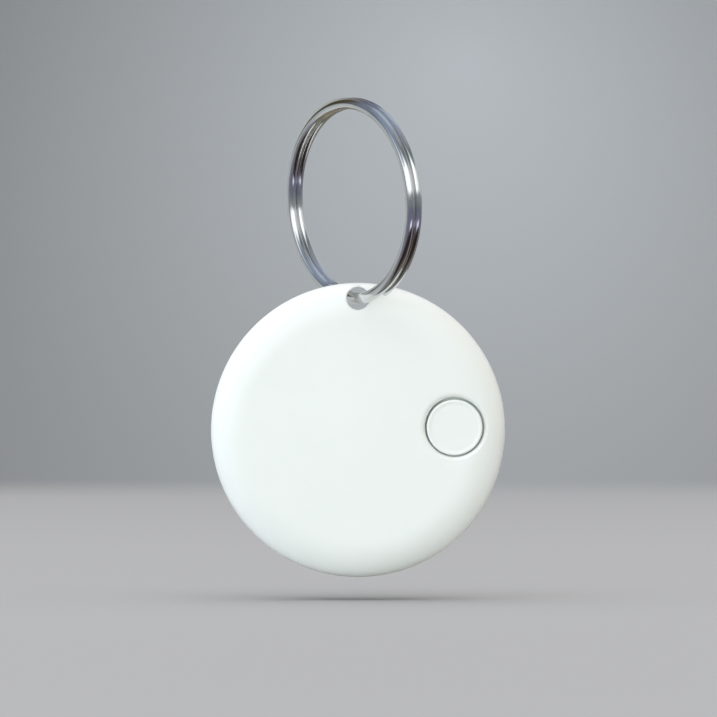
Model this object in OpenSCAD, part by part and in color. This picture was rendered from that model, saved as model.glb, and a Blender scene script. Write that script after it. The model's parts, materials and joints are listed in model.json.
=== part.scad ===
// Bluetooth tracker tag: a round pebble body with a push button, a removable coin cell
// and a split key ring through its lanyard hole.
// World frame: X right, Y back, Z up. The body faces -Y and its back face lies on Y = 0,
// with the origin at the middle of that face.
// Most modules are drawn in the face frame (X right, Y up, Z from the back face to the
// front) and stood upright by face_frame().

/* [Body] */
// Outside diameter of the round body
body_d = 36; // [36:0.1:36.4]
// Thickness from the back face to the middle of the front
body_t = 8.5; // [8.5:0.05:8.6]
// Height of the seam, where the body is widest, above the back face
seam_z = 5.75; // [5.7:0.05:5.8]
// Radius of the nearly flat part of the front
front_flat_r = 13.6; // [13.4:0.1:13.8]
// Radius of the flat part of the back
back_flat_r = 14.2; // [14.1:0.1:14.3]
// How far the front rises from the edge of its flat part to its middle
crown = 0.15; // [0.1:0.01:0.16]
// Wall thickness of both shells
wall = 1.1; // [1.05:0.05:1.15]

/* [Lanyard hole] */
// Diameter of the lanyard hole
hole_d = 2.8; // [2.7:0.05:2.9]
// Height of the hole above the middle of the body
hole_y = 16.08; // [16.05:0.01:16.1]
// Bevel round both mouths of the hole
hole_bevel = 0.25; // [0.2:0.01:0.28]
// Depth of the scoop behind the hole, measured from the back face
scoop_depth = 6.9; // [6.85:0.05:6.95]
// Radius of the scoop
scoop_r = 9; // [8.8:0.1:9.2]
// Lowest point of the scoop above the middle of the body
scoop_floor = 14.2; // [14.1:0.05:14.3]
// Radial thickness of the rim bar that closes the scoop at the front
bar_t = 0.6; // [0.5:0.05:0.65]

/* [Button] */
// Distance of the button from the middle of the body
button_x = 11.77; // [11.7:0.01:11.8]
// Height of the button above the middle of the body
button_y = 0.4; // [0.2:0.1:0.6]
// Diameter of the button's hole in the front shell
button_hole_d = 7.2; // [7.1:0.05:7.3]
// Gap all round the button
button_gap = 0.2; // [0.15:0.05:0.25]
// Height of the button's face above the back face of the body
button_top = 8.3; // [8.28:0.01:8.32]
// How far the button travels
button_travel = 0.25; // [0.2:0.01:0.25]

/* [Battery door] */
// Diameter of the door's flange
door_d = 25.4; // [25.3:0.1:25.5]
// Thickness of the door
door_t = 1.1; // [1.05:0.05:1.15]
// Depth of the door's skirt, from the back face
skirt_z = 3.2; // [3.1:0.1:3.4]
// Cord thickness of the door's O-ring, as squeezed
o_ring_d = 0.76; // [0.74:0.01:0.78]

/* [Coin cell] */
// Diameter of the coin cell
cell_d = 20; // [19.9:0.1:20]
// Thickness of the coin cell
cell_t = 3.2; // [3.1:0.1:3.2]

/* [Split ring] */
// Outside diameter of the split ring
ring_d = 25.2; // [25:0.1:25.4]
// Radial thickness of the flattened wire
wire_w = 1.4; // [1.2:0.05:1.45]
// Thickness of the wire along the ring's axis
wire_t = 1; // [0.9:0.05:1.05]
// Space between the two turns
turn_gap = 0.05; // [0.04:0.01:0.08]
// Direction of the ring's axis, turned from +X towards +Y
ring_yaw = 37.5; // [36:0.5:40]
// How far the top of the ring leans off the vertical
ring_tip = 4.1; // [3:0.1:5]
// Distance of the wire behind the middle of the body's front, where it crosses the hole
wire_depth = 1.05; // [1:0.01:1.1]
// Angle round the ring from the hole to the wire's first end
end_front = 21; // [19:1:23]
// Angle round the ring from the hole to the wire's second end
end_back = 25; // [23:1:27]

/* [Hidden] */
$fn = 96;

body_r = body_d / 2;
cut = 1;                                  // how far a cutting tool runs past a face
running = 0.05;                           // small gap between parts that don't touch
// Powers of the rounded shoulders: 2 is an ellipse, and more is squarer.
front_power = 2.2;
back_power = 2.2;
shoulder_steps = 14;
crown_steps = 6;

scoop_y = scoop_floor + scoop_r;          // centre of the scoop
keep_out_r = scoop_r + wall;              // outside of the wall round the scoop
lap_r = body_r - wall - 0.3;              // outside of the back shell's lip
lap_t = 0.6;
lap_h = 0.5;

button_r = button_hole_d / 2 - button_gap;
button_bevel = 0.12;
button_dish = 0.07;                       // depth of the button's dished face
dish_edge = [0.25, 0.55];                 // where its slope lies, in from the button's edge
hole_edge_bevel = 0.3;                    // bevel round the button's hole
cap_z = 6.95;                             // underside of the button's cap
flange_r = 3.8;                           // the flange that keeps the button in its hole
flange_in = 3;
flange_z = 6.72;
nub_r = 0.9;

flange_gap = 0.1;
skirt_gap = 0.15;
door_r = door_d / 2;
door_bore_r = door_r - 0.4;
skirt_r = door_bore_r - skirt_gap;
skirt_t = 0.95;
collar_t = 1;
collar_z = 3.6;
o_ring_z = 2.1;
o_ring_r = door_bore_r - 0.02 - o_ring_d / 2;
groove_w = 0.9;
pry_r = 2.6;
pry_depth = 1.5;
pry_pad_t = 0.8;                          // thickness of the pad that closes the notch inside

cell_r = cell_d / 2;
cell_z = door_t + 0.1;
cell_top = cell_z + cell_t;
can_t = 0.25;
cap_r = 8.9;
carrier_gap = 0.2;
carrier_t = 0.8;

board_z = 5.1;
board_t = 0.8;
board_top = board_z + board_t;
board_r = 14.2;

screw_pcd_r = 12.6;
screw_angles = [30, 150, 270];
screw_r = 0.6;
screw_head_r = 1.1;
screw_head_t = 0.6;
screw_tip = 7.05;
boss_r = 1.3;

piezo_at = [-4.5, -1.5];
piezo_r = 7.5;
ceramic_r = 5;
piezo_t = 0.2;
adhesive_top = 7.2;
adhesive_t = 0.2;
adhesive_w = 1.3;
plate_z = adhesive_top - adhesive_t - piezo_t;
ceramic_z = plate_z - piezo_t;

switch_cover_z = 6.6;
switch_base_t = 0.15;
plunger_top = 6.83;
plunger_r = 0.95;
plunger_flange_r = 1.25;

wire_r = (ring_d - wire_w) / 2;           // radius of the wire's middle line
turn_pitch = wire_t + turn_gap;
wire_points = 16;
wire_steps = 100;

// ---- shared shapes ----

module face_frame() rotate([90, 0, 0]) children();

// A rounded shoulder from its flat end round to the widest edge.
function shoulder(flat_r, flat_z, edge_r, edge_z, power) = [
    for (i = [0 : shoulder_steps]) let (a = 90 * i / shoulder_steps) [
        flat_r + (edge_r - flat_r) * pow(sin(a), 2 / power),
        edge_z + (flat_z - edge_z) * pow(cos(a), 2 / power)
    ]
];

// The front half of the body, inset by a wall thickness.
module front_half(inset) {
    flat_z = body_t - crown - inset;
    rotate_extrude() polygon(concat(
        [[0, seam_z]],
        [for (i = [0 : crown_steps - 1]) let (s = i / crown_steps)
            [front_flat_r * s, flat_z + crown * (1 + cos(180 * s)) / 2]],
        shoulder(front_flat_r, flat_z, body_r - inset, seam_z, front_power)
    ));
}

// The back half of the body, inset by a wall thickness.
module back_half(inset) {
    rotate_extrude() polygon(concat(
        [[0, seam_z], [0, inset]],
        shoulder(back_flat_r, inset, body_r - inset, seam_z, back_power)
    ));
}

module disc(r, z0, z1) translate([0, 0, z0]) cylinder(r = r, h = z1 - z0);

module tube(r_in, r_out, z0, z1) difference() {
    disc(r_out, z0, z1);
    disc(r_in, z0 - cut, z1 + cut);
}

// A plain box centred on [x, y], between two heights.
module block(at, size, z0, z1) {
    translate([at.x - size.x / 2, at.y - size.y / 2, z0]) cube([size.x, size.y, z1 - z0]);
}

module at_screws() for (a = screw_angles) rotate([0, 0, a]) translate([screw_pcd_r, 0, 0])
    children();

// The column of the scoop behind the lanyard hole, grown by a margin.
module scoop_column(grow, z0, z1) translate([0, scoop_y, 0]) disc(scoop_r + grow, z0, z1);

// The front end of the scoop, closed at the front by the lip that carries the hole and at
// the top by the thin bar round the rim.
module scoop_end() intersection() {
    scoop_column(0, seam_z - cut, scoop_depth);
    disc(body_r - bar_t, seam_z - cut, body_t);
}

// ---- shells ----

module front_shell() color("white") face_frame() {
    difference() {
        front_half(0);
        difference() {
            front_half(wall);
            scoop_column(wall, 0, body_t);
        }
        scoop_end();
        lanyard_hole();
        translate([button_x, button_y, 0]) {
            disc(button_hole_d / 2, seam_z, body_t + cut);
            translate([0, 0, button_top - 0.2]) cylinder(
                r1 = button_hole_d / 2,
                r2 = button_hole_d / 2 + hole_edge_bevel * 2,
                h = hole_edge_bevel * 2
            );
        }
    }
    at_screws() tube(screw_r + 0.02, boss_r, board_top, body_t - crown - wall + 0.1);
    translate([piezo_at.x, piezo_at.y, 0]) {
        tube(piezo_r - adhesive_w, piezo_r, adhesive_top, body_t - wall);
        tube(piezo_r + 0.1, piezo_r + 0.6, plate_z, body_t - wall);
    }
}

// The hole through the lip, bevelled where it opens into the scoop.
module lanyard_hole() translate([0, hole_y, 0]) {
    disc(hole_d / 2, scoop_depth - cut / 2, body_t + cut);
    translate([0, 0, scoop_depth]) cylinder(
        r1 = hole_d / 2 + hole_bevel, r2 = hole_d / 2, h = hole_bevel
    );
    translate([0, 0, lip_top() - hole_bevel / 2]) cylinder(
        r1 = hole_d / 2, r2 = hole_d / 2 + hole_bevel, h = hole_bevel
    );
}

// Height of the front surface at the lanyard hole.
function lip_top() =
    let (t = (hole_y - front_flat_r) / (body_r - front_flat_r))
    seam_z + (body_t - crown - seam_z) * pow(1 - pow(t, front_power), 1 / front_power);

module back_shell() color("whitesmoke") face_frame() {
    difference() {
        union() {
            difference() {
                back_half(0);
                difference() {
                    back_half(wall);
                    scoop_column(wall, -cut, seam_z);
                }
            }
            tube(door_bore_r, door_bore_r + collar_t, door_t, collar_z);
            pry_pad();
            lap_lip();
        }
        disc(door_bore_r, -cut, collar_z + cut);
        disc(door_r + flange_gap, -cut, door_t);
        scoop_column(0, -cut, seam_z + cut);
        pry_notch();
    }
}

// The lip that locates the back shell inside the front shell.
module lap_lip() difference() {
    union() {
        tube(lap_r - lap_t, lap_r, seam_z - lap_h, seam_z + lap_h);
        tube(lap_r - lap_t, body_r - wall / 2, seam_z - lap_h, seam_z);
    }
    scoop_column(wall + running, -cut, body_t);
}

// The notch at the door's lower edge that a coin or a nail goes in, to pry the door out.
module pry_notch() translate([0, -door_r, 0]) disc(pry_r, -cut, pry_depth);

// The pad inside the shell that closes the notch's floor and sides.
module pry_pad() translate([0, -door_r, 0])
    disc(pry_r + pry_pad_t, wall - 0.1, pry_depth + pry_pad_t);

// ---- button and its switch ----

module button_cap() color("white") face_frame() translate([button_x, button_y, 0])
    rotate_extrude() polygon([
        [0, plunger_top], [nub_r, plunger_top], [nub_r, cap_z], [flange_in, cap_z],
        [flange_in, flange_z], [flange_r, flange_z], [flange_r, cap_z], [button_r, cap_z],
        [button_r, button_top - button_bevel], [button_r - button_bevel, button_top],
        [button_r - dish_edge[0], button_top], [button_r - dish_edge[1], button_top - button_dish],
        [0, button_top - button_dish]
    ]);

module switch_plunger() color("dimgray") face_frame() translate([button_x, button_y, 0]) {
    disc(plunger_r, 6.4, plunger_top);
    disc(plunger_flange_r, 6.36, 6.5);
}

module switch_cover() color("silver") face_frame() translate([button_x, button_y, 0])
    difference() {
        block([0, 0], [4, 3], board_top + switch_base_t, switch_cover_z);
        block([0, 0], [3.7, 2.7], board_top, switch_cover_z - 0.08);
        disc(plunger_r + 0.08, board_top, body_t);
    }

module switch_base() color("#333333") face_frame() translate([button_x, button_y, 0])
    block([0, 0], [4.2, 3.2], board_top, board_top + switch_base_t);

// ---- circuit board ----

module circuit_board() color("seagreen") face_frame() difference() {
    disc(board_r, board_z, board_top);
    scoop_column(wall + 0.25, 0, body_t);
    at_screws() disc(0.75, 0, body_t);
}

// Three self-tapping screws, driven from the battery side into the front shell's bosses.
module board_screws() color("silver") face_frame() at_screws() difference() {
    union() {
        disc(screw_head_r, board_z - screw_head_t, board_z);
        disc(screw_r, board_z - screw_head_t / 2, screw_tip);
    }
    for (a = [0, 90]) rotate([0, 0, a])
        block([0, 0], [1.3, 0.3], board_z - screw_head_t - cut, board_z - 0.3);
}

module radio_chip() color("#222222") face_frame() difference() {
    block([5.2, 6.2], [5, 5], board_top, board_top + 0.8);
    translate([3.3, 8.1, 0]) disc(0.3, board_top + 0.72, board_top + cut);
}

module crystals() color("lightgray") face_frame() {
    block([0.4, 8.9], [3.2, 2.5], board_top, board_top + 0.6);
    block([9.2, -5.2], [2, 1.2], board_top, board_top + 0.5);
}

module chip_antenna() color("ivory") face_frame()
    rotate([0, 0, -52]) block([12.4, 0], [2, 7], board_top, board_top + 1);

// Small resistors, capacitors and coils in short rows.
module passives() color("tan") face_frame() {
    for (i = [0 : 4]) block([3.2 + i * 1.1, 10.4], [0.5, 1], board_top, board_top + 0.4);
    for (i = [0 : 3]) block([4 + i * 1.1, 2.4], [0.5, 1], board_top, board_top + 0.4);
    for (i = [0 : 3]) block([5, -2.2 - i * 1.3], [1.6, 0.8], board_top, board_top + 0.45);
    for (i = [0 : 2]) block([-5.5 - i * 1.2, 10.2 - i * 0.5], [0.5, 1], board_top, board_top + 0.4);
}

// ---- sounder ----

module at_piezo() face_frame() translate([piezo_at.x, piezo_at.y, 0]) children();

module piezo_adhesive() color("#444444") at_piezo()
    tube(piezo_r - adhesive_w, piezo_r, adhesive_top - adhesive_t, adhesive_top);

module piezo_plate() color("goldenrod") at_piezo() disc(piezo_r, plate_z, plate_z + piezo_t);

module piezo_ceramic() color("gainsboro") at_piezo() disc(ceramic_r, ceramic_z, plate_z);

// Two sprung pins on the board: one under the ceramic, one under the brass rim.
module piezo_pins() color("gold") at_piezo() {
    for (pin = [[0, ceramic_z], [-6.2, plate_z]]) translate([pin[0], 0, 0]) {
        disc(0.6, board_top, board_top + 0.25);
        disc(0.35, board_top, pin[1]);
    }
}

// ---- battery and its contacts ----

module battery_carrier() color("#3a3a3a") face_frame() difference() {
    tube(cell_r + carrier_gap, cell_r + carrier_gap + carrier_t, cell_z + 0.3, board_z);
    block([-cell_r - 1, 0], [3, 4], 0, body_t);
}

// A bent strip that presses on the side of the cell.
module contact_positive() color("gold") face_frame() {
    rotate([90, 0, 0]) translate([0, 0, -1.4]) linear_extrude(2.8) polygon([
        [-12.2, board_z], [-cell_r - running, board_z], [-cell_r - running, 2.3],
        [-10.5, 1.9], [-10.65, 2], [-10.3, 2.5], [-10.3, 4.85], [-12.2, 4.85]
    ]);
}

// A leaf spring under the board that presses on the middle of the cell.
module contact_negative() color("gold") face_frame() {
    rotate([90, 0, 0]) translate([0, 0, -2]) linear_extrude(4) polygon([
        [-4, board_z], [-4, 4.95], [-1, 4.95], [3.5, cell_top + 0.03], [5, 4.6],
        [5, 4.75], [3.5, cell_top + 0.18], [-0.9, board_z]
    ]);
}

module battery_can() color("lightsteelblue") face_frame() rotate_extrude() polygon([
    [0, cell_z], [cell_r - 0.3, cell_z], [cell_r, cell_z + 0.3],
    [cell_r, cell_top - 0.45], [cell_r - 0.35, cell_top - 0.2],
    [cell_r - 0.5, cell_top - 0.35], [cell_r - can_t, cell_top - 0.6],
    [cell_r - can_t, cell_z + can_t], [0, cell_z + can_t]
]);

module battery_gasket() color("#dddddd") face_frame()
    tube(cap_r, cell_r - can_t, cell_z + can_t, cell_top - 0.65);

module battery_cap() color("silver") face_frame() rotate_extrude() polygon([
    [0, cell_top], [cap_r - 0.5, cell_top], [cap_r, cell_top - 0.4],
    [cap_r, cell_z + 0.6], [cap_r - can_t, cell_z + 0.6],
    [cap_r - can_t, cell_top - can_t - 0.3], [cap_r - 0.6, cell_top - can_t],
    [0, cell_top - can_t]
]);

module battery_core() color("#555555") face_frame()
    disc(cap_r - can_t - running, cell_z + can_t, cell_top - can_t - 0.35);

// ---- battery door ----

module battery_door() color("whitesmoke") face_frame() {
    difference() {
        union() {
            disc(door_r, 0, door_t);
            disc(skirt_r, door_t / 2, skirt_z);
        }
        disc(skirt_r - skirt_t, door_t, skirt_z + cut);
        tube(o_ring_r - o_ring_d / 2 - 0.02, door_r, o_ring_z - groove_w / 2,
            o_ring_z + groove_w / 2);
    }
}

module door_o_ring() color("#222222") face_frame()
    translate([0, 0, o_ring_z]) rotate_extrude() translate([o_ring_r, 0])
        circle(d = o_ring_d, $fn = 32);

// ---- split ring ----

// Unit vectors of the ring: its axis, the tangent at the hole and the way to its middle.
ring_axis = [cos(ring_yaw) * cos(ring_tip), sin(ring_yaw) * cos(ring_tip), sin(ring_tip)];
ring_tangent = [sin(ring_yaw), -cos(ring_yaw), 0];
ring_up = cross(ring_tangent, ring_axis);
wire_at_hole = [0.08, wire_depth - body_t, hole_y];

// Side shift of the wire: one turn up to the hole, the other turn beyond it.
function turn_shift(a) =
    let (s = min(1, max(0, (a - 360 + end_back) / (end_back + end_front))))
    turn_pitch / 2 - turn_pitch * s * s * (3 - 2 * s);

// One cross-section of the wire, at an angle round the ring from the hole.
function wire_section(a) =
    let (
        out = ring_tangent * sin(a) - ring_up * cos(a),
        middle = wire_at_hole + wire_r * (ring_up + out) + ring_axis * turn_shift(a)
    )
    [for (k = [0 : wire_points - 1]) let (b = 360 * k / wire_points)
        middle + out * wire_w / 2 * cos(b) + ring_axis * wire_t / 2 * sin(b)];

module split_ring() color("silver") {
    span = 720 - end_front - end_back;
    last = wire_steps * wire_points;
    polyhedron(
        points = [for (i = [0 : wire_steps]) each wire_section(end_front + span * i / wire_steps)],
        faces = concat(
            [[for (k = [0 : wire_points - 1]) k]],
            [[for (k = [wire_points - 1 : -1 : 0]) last + k]],
            [for (i = [0 : wire_steps - 1], k = [0 : wire_points - 1], half = [0, 1])
                let (
                    a = i * wire_points + k,
                    b = i * wire_points + (k + 1) % wire_points
                )
                half == 0 ? [a, a + wire_points, b] : [b, a + wire_points, b + wire_points]]
        )
    );
}

split_ring();
front_shell();
back_shell();
button_cap();
switch_plunger();
switch_cover();
switch_base();
circuit_board();
board_screws();
radio_chip();
crystals();
chip_antenna();
passives();
piezo_plate();
piezo_ceramic();
piezo_adhesive();
piezo_pins();
battery_carrier();
contact_positive();
contact_negative();
battery_can();
battery_cap();
battery_gasket();
battery_core();
battery_door();
door_o_ring();
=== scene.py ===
"""Looks for the Bluetooth tracker tag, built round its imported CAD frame."""
import json
import math

import bmesh
import bpy
import numpy as np
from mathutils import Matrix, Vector, geometry


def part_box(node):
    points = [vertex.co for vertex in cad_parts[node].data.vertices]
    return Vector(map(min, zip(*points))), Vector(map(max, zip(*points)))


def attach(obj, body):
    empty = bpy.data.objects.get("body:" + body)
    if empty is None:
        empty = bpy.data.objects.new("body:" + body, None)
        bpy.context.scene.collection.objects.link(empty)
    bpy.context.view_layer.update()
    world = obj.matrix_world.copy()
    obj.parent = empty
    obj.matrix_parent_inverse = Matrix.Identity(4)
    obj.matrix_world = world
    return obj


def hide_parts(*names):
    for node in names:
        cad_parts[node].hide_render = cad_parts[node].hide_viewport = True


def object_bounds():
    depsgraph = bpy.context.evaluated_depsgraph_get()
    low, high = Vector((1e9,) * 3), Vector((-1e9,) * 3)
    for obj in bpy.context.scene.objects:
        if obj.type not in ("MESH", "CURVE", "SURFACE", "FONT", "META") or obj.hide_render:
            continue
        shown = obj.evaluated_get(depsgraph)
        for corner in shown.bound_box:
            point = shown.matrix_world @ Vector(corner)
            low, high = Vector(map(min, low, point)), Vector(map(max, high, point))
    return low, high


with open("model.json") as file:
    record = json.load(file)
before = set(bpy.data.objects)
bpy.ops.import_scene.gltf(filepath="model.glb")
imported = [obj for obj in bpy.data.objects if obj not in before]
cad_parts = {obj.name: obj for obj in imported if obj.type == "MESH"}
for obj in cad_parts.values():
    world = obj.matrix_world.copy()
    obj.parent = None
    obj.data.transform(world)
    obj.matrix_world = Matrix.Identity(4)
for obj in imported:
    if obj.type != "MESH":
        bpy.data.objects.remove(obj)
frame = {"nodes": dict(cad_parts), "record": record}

CAD_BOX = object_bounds()
MM = 0.001
TAU = 2 * math.pi

# Shapes are worked out in millimetres in the face frame: X right, Y up, and Z from the back
# face of the body to its front. stand_up() turns them into the row's frame, in metres.


def extent(node):
    """A node's lowest and highest corners in the face frame, in millimetres."""
    low, high = (np.array(corner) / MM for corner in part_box(node))
    return np.array([low[0], low[2], -high[1]]), np.array([high[0], high[2], -low[1]])


# ---- sizes that follow the frame ----

shell_low, shell_high = extent("front_shell")
BODY_R = (shell_high[0] - shell_low[0]) / 2
FRONT_Z = shell_high[2]
SEAM_Z = shell_low[2]
cap_low, cap_high = extent("button_cap")
BUTTON = np.array([(cap_low[0] + cap_high[0]) / 2, (cap_low[1] + cap_high[1]) / 2])
BUTTON_R = (cap_high[0] - cap_low[0]) / 2
BUTTON_TOP = cap_high[2]
BUTTON_BASE = cap_low[2]
CAP_R = BUTTON_R - 0.4
door_low, door_high = extent("battery_door")
DOOR_R = (door_high[0] - door_low[0]) / 2
SKIRT_Z = door_high[2]
cell_low, cell_high = extent("battery_can")
CELL_R = (cell_high[0] - cell_low[0]) / 2
CELL_Z = cell_low[2]
CELL_TOP = extent("battery_cap")[1][2]

# ---- sizes that the frame's boxes don't give, as in the part's source ----

FRONT_FLAT_R = 13.6
BACK_FLAT_R = 14.2
CROWN = 0.15
WALL = 1.1
FRONT_POWER = 2.2
BACK_POWER = 2.2
HOLE_R = 1.4
HOLE_Y = 16.08
SCOOP_R = 9.0
SCOOP_FLOOR = 14.2
SCOOP_Y = SCOOP_FLOOR + SCOOP_R
SCOOP_DEPTH = 6.9
BAR_T = 0.6
LAP_R = BODY_R - WALL - 0.3
LAP_T = 0.6
LAP_H = 0.5
BUTTON_GAP = 0.2
BUTTON_SAG = 0.08       # how far the cap sits below the middle of its opening
DOOR_T = 1.1
DOOR_GAP = 0.1
BORE_R = DOOR_R - 0.4
SKIRT_R = BORE_R - 0.15
SKIRT_T = 0.95
COLLAR_T = 1.0
COLLAR_Z = 3.6
PRY_R = 2.6
PRY_DEPTH = 1.5
PRY_PAD_T = 0.8
O_RING_D = 0.76
O_RING_R = 11.9
O_RING_Z = 2.1
GROOVE_W = 0.9
CAP_Z = 6.95
FLANGE_IN = 3.0
CAP_DISH = 0.07
DISH_EDGE = (0.25, 0.55)    # where the dish's slope lies, in from the cap's edge
NUB_R = 0.9
NUB_Z = 6.83
PIEZO = (-4.5, -1.5)
PIEZO_SEAT = (6.2, 7.5, 7.2)    # inner and outer radius, and height of its back end
PIEZO_COLLAR = (7.6, 8.1, 6.8)
BOSS_ANGLES = (30, 150, 270)
BOSS_PCD_R = 12.6
BOSS = (0.62, 1.3, 5.9)         # bore, radius, and height of its back end
CAN_T = 0.25
PLUS_Y = 5.4                    # the plus sign on the cell, its bars and its relief
PLUS_BAR = (1.6, 0.28)
PLUS_H = 0.05
EASE = 0.16                     # how far the back's openings roll over

# ---- meshes ----


def stand_up(points):
    """Face-frame millimetres to row-frame metres."""
    p = np.asarray(points, dtype=float)
    return np.column_stack([p[:, 0], -p[:, 2], p[:, 1]]) * MM


def raw_piece(name, verts, faces):
    """A mesh object still in face-frame millimetres, with its faces turned outwards."""
    mesh = bpy.data.meshes.new(name)
    mesh.from_pydata([tuple(v) for v in verts], [], [tuple(int(i) for i in f) for f in faces])
    mesh.validate()
    if signed_volume(mesh) < 0:
        mesh.flip_normals()
    piece = bpy.data.objects.new(name, mesh)
    bpy.context.scene.collection.objects.link(piece)
    return piece


def signed_volume(mesh):
    mesh.calc_loop_triangles()
    co = np.empty(len(mesh.vertices) * 3)
    mesh.vertices.foreach_get("co", co)
    tris = np.empty(len(mesh.loop_triangles) * 3, dtype=np.int64)
    mesh.loop_triangles.foreach_get("vertices", tris)
    a, b, c = co.reshape(-1, 3)[tris.reshape(-1, 3)].transpose(1, 0, 2)
    return float(np.einsum("ij,ij->i", a, np.cross(b, c)).sum() / 6)


def combine(piece, other, operation):
    """Adds, cuts or intersects two closed meshes, and removes the second."""
    modifier = piece.modifiers.new(operation, "BOOLEAN")
    modifier.operation = operation
    modifier.solver = "MANIFOLD"
    modifier.object = other
    graph = bpy.context.evaluated_depsgraph_get()
    mesh = bpy.data.meshes.new_from_object(piece.evaluated_get(graph))
    piece.modifiers.clear()
    piece.data = mesh
    bpy.data.objects.remove(other)
    return piece


def cut(piece, *tools):
    for tool in tools:
        combine(piece, tool, "DIFFERENCE")
    return piece


def add(piece, *others):
    for other in others:
        combine(piece, other, "UNION")
    return piece


def finish_piece(piece, material, body, nodes, sharp_deg=32):
    """Stands a raw piece up, shades it and fits it to its CAD body and nodes."""
    mesh = piece.data
    co = np.empty(len(mesh.vertices) * 3)
    mesh.vertices.foreach_get("co", co)
    mesh.vertices.foreach_set("co", stand_up(co.reshape(-1, 3)).ravel())
    mesh.update()
    mesh.shade_smooth()
    mesh.set_sharp_from_angle(angle=math.radians(sharp_deg))
    mesh.materials.clear()
    mesh.materials.append(material)
    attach(piece, body)
    if nodes:
        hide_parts(*nodes)
    return piece


def rounded(corners, steps=6):
    """A closed outline of (r, z) points from (r, z, radius) corners, each rounded off."""
    outline = []
    for i, (r, z, radius) in enumerate(corners):
        here = np.array([r, z], dtype=float)
        if radius == 0:
            outline.append(here)
            continue
        to_last = np.array(corners[i - 1][:2]) - here
        to_next = np.array(corners[(i + 1) % len(corners)][:2]) - here
        to_last /= np.linalg.norm(to_last)
        to_next /= np.linalg.norm(to_next)
        half = math.acos(float(np.clip(to_last @ to_next, -1, 1))) / 2
        bisector = (to_last + to_next) / np.linalg.norm(to_last + to_next)
        middle = here + bisector * radius / math.sin(half)
        first = here + to_last * radius / math.tan(half) - middle
        last = here + to_next * radius / math.tan(half) - middle
        turn = math.pi - 2 * half
        for k in range(steps + 1):
            s = k / steps
            swing = (math.sin((1 - s) * turn) * first + math.sin(s * turn) * last) / math.sin(turn)
            outline.append(middle + swing)
    return np.array(outline)


def lathe(name, outline, centre=(0, 0), segments=180):
    """A closed solid turned from an outline of (r, z) points about an axis along Z."""
    verts, rings, faces = [], [], []
    for r, z in outline:
        if r < 1e-6:
            rings.append([len(verts)] * segments)
            verts.append((centre[0], centre[1], z))
            continue
        rings.append(list(range(len(verts), len(verts) + segments)))
        for k in range(segments):
            a = TAU * k / segments
            verts.append((centre[0] + r * math.cos(a), centre[1] + r * math.sin(a), z))
    for i, here in enumerate(rings):
        ahead = rings[(i + 1) % len(rings)]
        for k in range(segments):
            face = [here[k], here[(k + 1) % segments], ahead[(k + 1) % segments], ahead[k]]
            face = list(dict.fromkeys(face))
            if len(face) > 2:
                faces.append(face)
    return raw_piece(name, verts, faces)


def disc(r, z0, z1, centre=(0, 0), segments=180):
    return lathe("disc", [(0, z0), (r, z0), (r, z1), (0, z1)], centre, segments)


def tube(r_in, r_out, z0, z1, centre=(0, 0)):
    return lathe("tube", [(r_in, z0), (r_out, z0), (r_out, z1), (r_in, z1)], centre)


def block(low, high):
    corners = [(x, y, z) for x in (low[0], high[0]) for y in (low[1], high[1]) for z in (low[2], high[2])]
    faces = [(0, 1, 3, 2), (4, 6, 7, 5), (0, 4, 5, 1), (2, 3, 7, 6), (0, 2, 6, 4), (1, 5, 7, 3)]
    return raw_piece("block", corners, faces)


# ---- the pebble ----


def shoulder(flat_r, flat_z, edge_r, edge_z, power, steps):
    """Points of a rounded shoulder, from its flat end round to the widest edge."""
    a = np.linspace(0, math.pi / 2, steps + 1)
    r = flat_r + (edge_r - flat_r) * np.sin(a) ** (2 / power)
    z = edge_z + (flat_z - edge_z) * np.maximum(np.cos(a), 0) ** (2 / power)
    return np.column_stack([r, z])


def front_outline(inset, steps=48):
    """Half outline of the front, from its middle out to the seam."""
    flat_z = FRONT_Z - CROWN - inset
    r = np.linspace(0, FRONT_FLAT_R, 28)[:-1]
    crown = flat_z + CROWN * (1 + np.cos(np.pi * r / FRONT_FLAT_R)) / 2
    return np.vstack([
        np.column_stack([r, crown]),
        shoulder(FRONT_FLAT_R, flat_z, BODY_R - inset, SEAM_Z, FRONT_POWER, steps),
    ])


def back_outline(inset, steps=48):
    """Half outline of the back, from its middle out to the seam."""
    r = np.linspace(0, BACK_FLAT_R, 20)[:-1]
    return np.vstack([
        np.column_stack([r, np.full_like(r, inset)]),
        shoulder(BACK_FLAT_R, inset, BODY_R - inset, SEAM_Z, BACK_POWER, steps),
    ])


def circle(radius, count, centre=(0, 0), phase=0.0):
    a = TAU * (np.arange(count) + phase) / count
    return np.column_stack([centre[0] + radius * np.cos(a), centre[1] + radius * np.sin(a)])


def filled(points, loops):
    """Delaunay triangles inside the first loop of 2-D points and outside the other loops."""
    edges = [(loop[i - 1], loop[i]) for loop in loops for i in range(len(loop))]
    _, _, faces, origin, _, _ = geometry.delaunay_2d_cdt(
        [Vector(p) for p in points], edges, [], 0, 1e-7, True
    )
    tris = np.array([[origin[i][0] for i in face] for face in faces])
    for hole in loops[1:]:
        tris = tris[~np.isin(tris, hole).all(axis=1)]
    return tris


SCOOP_ROLL = 0.5
NET_STEP = 0.22
EDGE_BEVEL = 0.1        # the fine bevel that draws the seam line
EDGE_COUNT = 420
SKIN_STEPS = (0.5, 0.26)    # space between the front's rings of points, inside and past SKIN_FINE_S
SKIN_FINE_S = 12.5
SKIN_TURN = 0.37            # how far each ring of points is turned on, so that they don't line up
HOLE_MARGINS = (0.12, 0.3)  # two more rings of points outside each hole's roll
HOLES = (               # centre, radius, roll of the edge and points round it
    ((0.0, HOLE_Y), HOLE_R, 0.22, 96),
    (tuple(BUTTON), CAP_R + BUTTON_GAP, 0.6, 150),
)


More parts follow.
